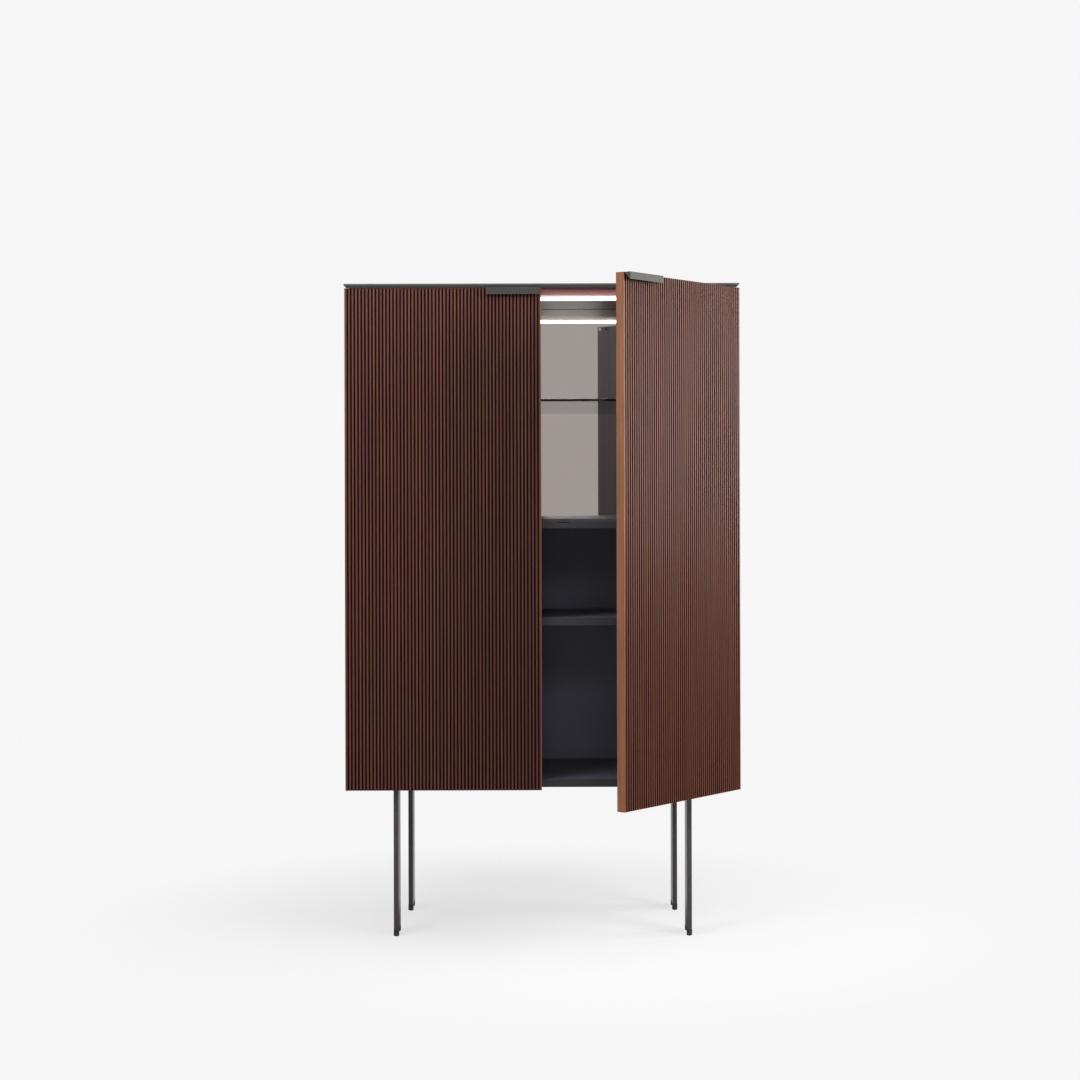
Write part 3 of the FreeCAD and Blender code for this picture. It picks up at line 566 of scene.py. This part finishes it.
# Shelf supports. Turned pegs under the lower shelf and flat tongues under the glass, nickel plated:
# bright metal with a soft haze and faint turning marks.
nickel, tree = bare_finish("nickel_plated_steel")
place = add_node(tree, "ShaderNodeTexCoord")
haze = add_node(tree, "ShaderNodeTexNoise", {
    "Vector": place.outputs["Object"], "Scale": 1 / (2 * mm), "Detail": 3.0})
dull = add_node(tree, "ShaderNodeMapRange", {
    "Value": haze.outputs["Fac"], "From Min": 0.3, "From Max": 0.7, "To Min": 0.2, "To Max": 0.34})
tint = add_node(tree, "ShaderNodeMix", {
    "Factor": haze.outputs["Fac"], "A": linear("#a9a6a1"), "B": linear("#bebbb6"),
}, data_type="RGBA")
shader = add_node(tree, "ShaderNodeBsdfPrincipled", {
    "Base Color": tint.outputs["Result"], "Metallic": 1.0, "Roughness": dull.outputs[0]})
add_node(tree, "ShaderNodeOutputMaterial", {"Surface": shader.outputs[0]})
dress(nickel, "lower_shelf_pegs", "glass_shelf_supports")

# Mirror. Clear silvered float glass with ground edges, glued to the back panel: nearly perfect
# reflection, with the faint film that wiping leaves.
mirror_ease = 0.8 * mm
silver, tree = bare_finish("silvered_glass")
place = add_node(tree, "ShaderNodeTexCoord")
wiping = add_node(tree, "ShaderNodeTexNoise", {
    "Vector": place.outputs["Object"], "Scale": 1 / (90 * mm), "Detail": 4.0})
film = add_node(tree, "ShaderNodeMapRange", {
    "Value": wiping.outputs["Fac"], "From Min": 0.3, "From Max": 0.7, "To Min": 0.01,
    "To Max": 0.03})
tint = add_node(tree, "ShaderNodeMix", {
    "Factor": wiping.outputs["Fac"], "A": linear("#ecebe9"), "B": linear("#f2f0ee"),
}, data_type="RGBA")
shader = add_node(tree, "ShaderNodeBsdfPrincipled", {
    "Base Color": tint.outputs["Result"], "Metallic": 1.0, "Roughness": film.outputs[0]})
add_node(tree, "ShaderNodeOutputMaterial", {"Surface": shader.outputs[0]})
eased_copy("mirror", "mirror_glass", mirror_ease).data.materials.append(silver)

# Glass shelf. Smoked float glass with polished edges, laid on the tongues; dark where one looks
# into its edge, and a mirror to grazing eyes.
pane_ease = 0.4 * mm
smoke, tree = bare_finish("smoked_float_glass")
place = add_node(tree, "ShaderNodeTexCoord")
wiping = add_node(tree, "ShaderNodeTexNoise", {
    "Vector": place.outputs["Object"], "Scale": 1 / (120 * mm), "Detail": 3.0})
film = add_node(tree, "ShaderNodeMapRange", {
    "Value": wiping.outputs["Fac"], "From Min": 0.3, "From Max": 0.7, "To Max": 0.03})
shader = add_node(tree, "ShaderNodeBsdfPrincipled", {
    "Base Color": linear("#7c7d81"), "Roughness": film.outputs[0], "IOR": 1.52,
    "Transmission Weight": 1.0})
add_node(tree, "ShaderNodeOutputMaterial", {"Surface": shader.outputs[0]})
eased_copy("glass_shelf", "glass_shelf_pane", pane_ease).data.materials.append(smoke)

# Lamp. An anodised aluminium base stuck to the ceiling, a white circuit strip and an opal acrylic
# cover, whose glow beats faintly at the 8.3 mm spacing of the lamps behind it.
channel_ease = 0.3 * mm
anodised, tree = bare_finish("anodised_aluminium")
place = add_node(tree, "ShaderNodeTexCoord")
brush_length, brush_width = 40 * mm, 0.3 * mm
brush_steps = (1 / brush_length, 1 / brush_width, 1 / brush_width)
brush_room = add_node(tree, "ShaderNodeVectorMath", {
    0: place.outputs["Object"], 1: brush_steps}, operation="MULTIPLY")
brush = add_node(tree, "ShaderNodeTexNoise", {
    "Vector": brush_room.outputs[0], "Scale": 1.0, "Detail": 2.0})
rub = add_node(tree, "ShaderNodeMapRange", {
    "Value": brush.outputs["Fac"], "From Min": 0.3, "From Max": 0.7, "To Min": 0.28, "To Max": 0.42,
})
shader = add_node(tree, "ShaderNodeBsdfPrincipled", {
    "Base Color": linear("#c9c9cb"), "Metallic": 1.0, "Roughness": rub.outputs[0]})
add_node(tree, "ShaderNodeOutputMaterial", {"Surface": shader.outputs[0]})
eased_copy("lamp_base", "lamp_channel", channel_ease).data.materials.append(anodised)

lamp_step = 2 * math.pi / (8.3 * mm)
dimmest, brightest = 4.0, 5.0
opal, tree = bare_finish("lit_opal_acrylic")
place = add_node(tree, "ShaderNodeTexCoord")
split = add_node(tree, "ShaderNodeSeparateXYZ", {"Vector": place.outputs["Object"]})
phase = add_node(tree, "ShaderNodeMath", {
    0: split.outputs["X"], 1: lamp_step}, operation="MULTIPLY")
beat = add_node(tree, "ShaderNodeMath", {0: phase.outputs[0]}, operation="COSINE")
spots = add_node(tree, "ShaderNodeMapRange", {
    "Value": beat.outputs[0], "From Min": -1.0, "To Min": dimmest, "To Max": brightest})
shader = add_node(tree, "ShaderNodeBsdfPrincipled", {
    "Base Color": linear("#f4f0ea"), "Roughness": 0.4, "Emission Color": linear("#fff4ee"),
    "Emission Strength": spots.outputs[0]})
add_node(tree, "ShaderNodeOutputMaterial", {"Surface": shader.outputs[0]})
dress(opal, "lamp_cover")

circuit, tree = bare_finish("white_circuit_strip")
place = add_node(tree, "ShaderNodeTexCoord")
split = add_node(tree, "ShaderNodeSeparateXYZ", {"Vector": place.outputs["Object"]})
phase = add_node(tree, "ShaderNodeMath", {
    0: split.outputs["X"], 1: lamp_step}, operation="MULTIPLY")
beat = add_node(tree, "ShaderNodeMath", {0: phase.outputs[0]}, operation="COSINE")
chip = add_node(tree, "ShaderNodeMapRange", {
    "Value": beat.outputs[0], "From Min": 0.3, "From Max": 0.4})
tint = add_node(tree, "ShaderNodeMix", {
    "Factor": chip.outputs[0], "A": linear("#f0efe8"), "B": linear("#e6cf6e")}, data_type="RGBA")
shader = add_node(tree, "ShaderNodeBsdfPrincipled", {
    "Base Color": tint.outputs["Result"], "Roughness": 0.5})
add_node(tree, "ShaderNodeOutputMaterial", {"Surface": shader.outputs[0]})
dress(circuit, "lamp_strip")

# Top panel. A 10 mm plate with an undercut edge, screwed on from below; sprayed with dark green grey
# satin lacquer, with a fine orange peel.
plate_ease = 0.4 * mm
slate, tree = bare_finish("green_grey_lacquer")
place = add_node(tree, "ShaderNodeTexCoord")
cloud = add_node(tree, "ShaderNodeTexNoise", {
    "Vector": place.outputs["Object"], "Scale": 1 / (80 * mm), "Detail": 3.0})
peel = add_node(tree, "ShaderNodeTexNoise", {
    "Vector": place.outputs["Object"], "Scale": 1 / (1.2 * mm), "Detail": 1.0})
tint = add_node(tree, "ShaderNodeMix", {
    "Factor": cloud.outputs["Fac"], "A": linear("#505350"), "B": linear("#5b5c59"),
}, data_type="RGBA")
dull = add_node(tree, "ShaderNodeMapRange", {
    "Value": cloud.outputs["Fac"], "From Min": 0.3, "From Max": 0.7, "To Min": 0.32, "To Max": 0.4})
orange_peel = add_node(tree, "ShaderNodeBump", {
    "Height": peel.outputs["Fac"], "Strength": 0.1, "Distance": 0.05 * mm})
shader = add_node(tree, "ShaderNodeBsdfPrincipled", {
    "Base Color": tint.outputs["Result"], "Roughness": dull.outputs[0],
    "Normal": orange_peel.outputs[0]})
add_node(tree, "ShaderNodeOutputMaterial", {"Surface": shader.outputs[0]})
eased_copy("top_panel", "top_plate", plate_ease).data.materials.append(slate)


# Screws of the top panel. Countersunk steel screws with a hex socket, zinc plated, driven up through
# the top board; the legs have the same ones, and arms and handles a smaller size.
wood_screw = (4.0 * mm, 2.0 * mm)
small_screw = (2.8 * mm, 1.4 * mm)


def socket_screws(node, name, head_radius, shank_radius, body="cabinet", head_up=None):
    """Puts one modelled screw at each screw of a CAD node; heads look down unless head_up says up."""
    bpy.ops.object.select_all(action="DESELECT")
    guide = bpy.data.objects.new("guide", nodes[node].data.copy())
    bpy.context.scene.collection.objects.link(guide)
    guide.select_set(True)
    bpy.context.view_layer.objects.active = guide
    bpy.ops.object.mode_set(mode="EDIT")
    bpy.ops.mesh.select_all(action="SELECT")
    bpy.ops.mesh.remove_doubles(threshold=weld_gap)
    bpy.ops.mesh.separate(type="LOOSE")
    bpy.ops.object.mode_set(mode="OBJECT")
    spans = []
    for part in bpy.context.selected_objects:
        rows = [vertex.co for vertex in part.data.vertices]
        low = Vector([min(row[i] for row in rows) for i in range(3)])
        high = Vector([max(row[i] for row in rows) for i in range(3)])
        spans.append((low, high))
    bpy.ops.object.delete()

    length = spans[0][1].z - spans[0][0].z
    cone = head_radius - shank_radius
    tip_share = 0.15
    facet_angle = math.radians(30.0)
    key_radius, key_depth = 0.58 * head_radius, 0.6 * head_radius
    bpy.ops.mesh.primitive_cone_add(vertices=20, radius1=head_radius, radius2=shank_radius,
                                    depth=cone, location=(0, 0, cone / 2))
    screw = bpy.context.object
    bpy.ops.object.transform_apply(location=True, rotation=False, scale=False)
    bpy.ops.object.mode_set(mode="EDIT")
    bpy.ops.mesh.select_mode(type="FACE")
    bpy.ops.mesh.select_all(action="DESELECT")
    bpy.ops.object.mode_set(mode="OBJECT")
    for face in screw.data.polygons:
        face.select = face.normal.z > 0.99
    bpy.ops.object.mode_set(mode="EDIT")
    for rise in (length - cone - shank_radius, shank_radius):
        bpy.ops.mesh.extrude_region_move(TRANSFORM_OT_translate={"value": (0, 0, rise)})
    bpy.ops.transform.resize(value=(tip_share, tip_share, 1.0))
    bpy.ops.object.mode_set(mode="OBJECT")
    bpy.ops.mesh.primitive_cylinder_add(vertices=6, radius=key_radius, depth=2 * key_depth)
    key = bpy.context.object
    socket = screw.modifiers.new("socket", "BOOLEAN")
    socket.object = key
    bpy.context.view_layer.objects.active = screw
    bpy.ops.object.modifier_apply(modifier=socket.name)
    bpy.data.objects.remove(key)
    screw.data.materials.clear()

    copies = []
    for low, high in spans:
        upward = head_up(low) if head_up else False
        turned = Matrix.Rotation(math.pi, 4, "X") if upward else Matrix.Identity(4)
        middle = (low + high) / 2
        seat = Vector((middle.x, middle.y, high.z if upward else low.z))
        copy = bpy.data.objects.new(name, screw.data.copy())
        bpy.context.scene.collection.objects.link(copy)
        copy.data.transform(Matrix.Translation(seat) @ turned)
        copies.append(copy)
    bpy.data.objects.remove(screw)
    bpy.ops.object.select_all(action="DESELECT")
    for copy in copies:
        copy.select_set(True)
    bpy.context.view_layer.objects.active = copies[0]
    bpy.ops.object.join()
    bpy.ops.object.shade_smooth_by_angle(angle=facet_angle)
    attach(copies[0], body)
    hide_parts(node)
    return copies[0]


zinc, tree = bare_finish("zinc_plated_steel")
place = add_node(tree, "ShaderNodeTexCoord")
spangle = add_node(tree, "ShaderNodeTexVoronoi", {
    "Vector": place.outputs["Object"], "Scale": 1 / (0.8 * mm)})
dull = add_node(tree, "ShaderNodeMapRange", {
    "Value": spangle.outputs["Distance"], "From Max": 0.8, "To Min": 0.26, "To Max": 0.42})
tint = add_node(tree, "ShaderNodeMix", {
    "Factor": spangle.outputs["Distance"], "A": linear("#a3a5a8"), "B": linear("#b9babc"),
}, data_type="RGBA")
shader = add_node(tree, "ShaderNodeBsdfPrincipled", {
    "Base Color": tint.outputs["Result"], "Metallic": 1.0, "Roughness": dull.outputs[0]})
add_node(tree, "ShaderNodeOutputMaterial", {"Surface": shader.outputs[0]})
top_screws = socket_screws("top_panel_screws", "top_panel_socket_screws", *wood_screw)
top_screws.data.materials.append(zinc)

# Pivot arms. Steel plates let into the top and bottom boards, each with a pin for a door to turn
# on; brushed and nickel plated, held by small screws.
arm_ease = 0.4 * mm
mid_height = 1.0
for side in ("left", "right"):
    for level in ("upper", "lower"):
        arm = eased_copy(f"{side}_{level}_pivot_arm", f"{side}_{level}_arm_plate", arm_ease)
        arm.data.materials.append(nickel)
arm_screws = socket_screws("pivot_arm_screws", "pivot_arm_socket_screws", *small_screw,
                           head_up=lambda low: low.z > mid_height)
arm_screws.data.materials.append(zinc)

# Doors. Each is one panel, 22 mm thick, with 54 round-cornered ribs machined up its front, plain
# lippings at both edges and a lacquered back. They hang on pivot pins at top and bottom.
swing = next(joint for joint in frame["joints"] if joint["name"] == "right_door_swing")
right_pivot = Vector(swing["pos_m"])
opened = math.radians(-swing["range_deg"][0])
dress(stained_walnut("ribbed_walnut_left", door=(0.0, Vector((0, 0, 0)))), "left_door_panel")
dress(stained_walnut("ribbed_walnut_right", door=(-opened, right_pivot)), "right_door_panel")

# Door fittings, let into the panels. Bushes of natural nylon, pressed in for the pivot pins, soft
# dark polyurethane bumpers, and nickel plated strike plates for the magnets.
nylon, tree = bare_finish("natural_nylon")
place = add_node(tree, "ShaderNodeTexCoord")
cloud = add_node(tree, "ShaderNodeTexNoise", {
    "Vector": place.outputs["Object"], "Scale": 1 / (3 * mm), "Detail": 2.0})
tint = add_node(tree, "ShaderNodeMix", {
    "Factor": cloud.outputs["Fac"], "A": linear("#d9d4c6"), "B": linear("#e6e2d6"),
}, data_type="RGBA")
shader = add_node(tree, "ShaderNodeBsdfPrincipled", {
    "Base Color": tint.outputs["Result"], "Roughness": 0.45, "Subsurface Weight": 0.1,
    "Subsurface Scale": 2 * mm})
add_node(tree, "ShaderNodeOutputMaterial", {"Surface": shader.outputs[0]})
soft, tree = bare_finish("dark_polyurethane")
place = add_node(tree, "ShaderNodeTexCoord")
cloud = add_node(tree, "ShaderNodeTexNoise", {
    "Vector": place.outputs["Object"], "Scale": 1 / (2 * mm), "Detail": 2.0})
tint = add_node(tree, "ShaderNodeMix", {
    "Factor": cloud.outputs["Fac"], "A": linear("#3a3435"), "B": linear("#474041"),
}, data_type="RGBA")
shader = add_node(tree, "ShaderNodeBsdfPrincipled", {
    "Base Color": tint.outputs["Result"], "Roughness": 0.65})
add_node(tree, "ShaderNodeOutputMaterial", {"Surface": shader.outputs[0]})
for side in ("left", "right"):
    dress(nylon, f"{side}_door_bushes")
    dress(soft, f"{side}_door_bumpers")
    dress(nickel, f"{side}_strike_plate")

# Handles. An extruded aluminium wedge with a flange let into the door's top edge, anodised dark
# grey over fine brushing along its length, and held by two small screws.
wedge_ease = 0.3 * mm
graphite, tree = bare_finish("graphite_anodised_aluminium")
place = add_node(tree, "ShaderNodeTexCoord")
brush_length, brush_width = 8 * mm, 0.25 * mm
brush_steps = (1 / brush_length, 1 / brush_length, 1 / brush_width)
brush_room = add_node(tree, "ShaderNodeVectorMath", {
    0: place.outputs["Object"], 1: brush_steps}, operation="MULTIPLY")
brush = add_node(tree, "ShaderNodeTexNoise", {
    "Vector": brush_room.outputs[0], "Scale": 1.0, "Detail": 2.0})
tint = add_node(tree, "ShaderNodeMix", {
    "Factor": brush.outputs["Fac"], "A": linear("#474644"), "B": linear("#4e4d4a"),
}, data_type="RGBA")
rub = add_node(tree, "ShaderNodeMapRange", {
    "Value": brush.outputs["Fac"], "From Min": 0.3, "From Max": 0.7, "To Min": 0.46, "To Max": 0.56,
})
shader = add_node(tree, "ShaderNodeBsdfPrincipled", {
    "Base Color": tint.outputs["Result"], "Metallic": 1.0, "Roughness": rub.outputs[0]})
add_node(tree, "ShaderNodeOutputMaterial", {"Surface": shader.outputs[0]})
for side in ("left", "right"):
    body = f"{side}_door"
    wedge = eased_copy(f"{side}_handle", f"{side}_handle_wedge", wedge_ease, body)
    wedge.data.materials.append(graphite)
    held = socket_screws(f"{side}_handle_screws", f"{side}_handle_socket_screws", *small_screw, body,
                         head_up=lambda low: True)
    held.data.materials.append(zinc)

# Legs. A 12 mm steel blade welded under a screwed plate, coated with fine dark powder: an even
# satin with the pebble of sprayed powder, drawn at 0.5 mm to show.
blade_ease = 0.3 * mm
powder, tree = bare_finish("dark_powder_coat")
place = add_node(tree, "ShaderNodeTexCoord")
grain = add_node(tree, "ShaderNodeTexNoise", {
    "Vector": place.outputs["Object"], "Scale": 1 / (0.5 * mm), "Detail": 2.0})
cloud = add_node(tree, "ShaderNodeTexNoise", {
    "Vector": place.outputs["Object"], "Scale": 1 / (40 * mm), "Detail": 2.0})
tint = add_node(tree, "ShaderNodeMix", {
    "Factor": cloud.outputs["Fac"], "A": linear("#3e3a3a"), "B": linear("#484443"),
}, data_type="RGBA")
dull = add_node(tree, "ShaderNodeMapRange", {
    "Value": grain.outputs["Fac"], "From Min": 0.3, "From Max": 0.7, "To Min": 0.36, "To Max": 0.44,
})
pebble = add_node(tree, "ShaderNodeBump", {
    "Height": grain.outputs["Fac"], "Strength": 0.25, "Distance": 0.05 * mm})
shader = add_node(tree, "ShaderNodeBsdfPrincipled", {
    "Base Color": tint.outputs["Result"], "Roughness": dull.outputs[0], "Normal": pebble.outputs[0],
})
add_node(tree, "ShaderNodeOutputMaterial", {"Surface": shader.outputs[0]})
for row in ("front", "rear"):
    for side in ("left", "right"):
        leg = eased_copy(f"leg_{row}_{side}", f"{row}_{side}_leg", blade_ease)
        leg.data.materials.append(powder)
leg_screws = socket_screws("leg_screws", "leg_socket_screws", *wood_screw)
leg_screws.data.materials.append(zinc)

# Glides. Moulded black rubber feet on screw studs, two to a leg, which turn to level the cabinet;
# dull, with a little dust in the skin.
rubber, tree = bare_finish("black_rubber")
place = add_node(tree, "ShaderNodeTexCoord")
dust = add_node(tree, "ShaderNodeTexNoise", {
    "Vector": place.outputs["Object"], "Scale": 1 / (3 * mm), "Detail": 3.0})
tint = add_node(tree, "ShaderNodeMix", {
    "Factor": dust.outputs["Fac"], "A": linear("#2b2929"), "B": linear("#3a3838"),
}, data_type="RGBA")
shader = add_node(tree, "ShaderNodeBsdfPrincipled", {
    "Base Color": tint.outputs["Result"], "Roughness": 0.6})
add_node(tree, "ShaderNodeOutputMaterial", {"Surface": shader.outputs[0]})
dress(rubber, *[name for name in nodes if name.startswith("glide_")])
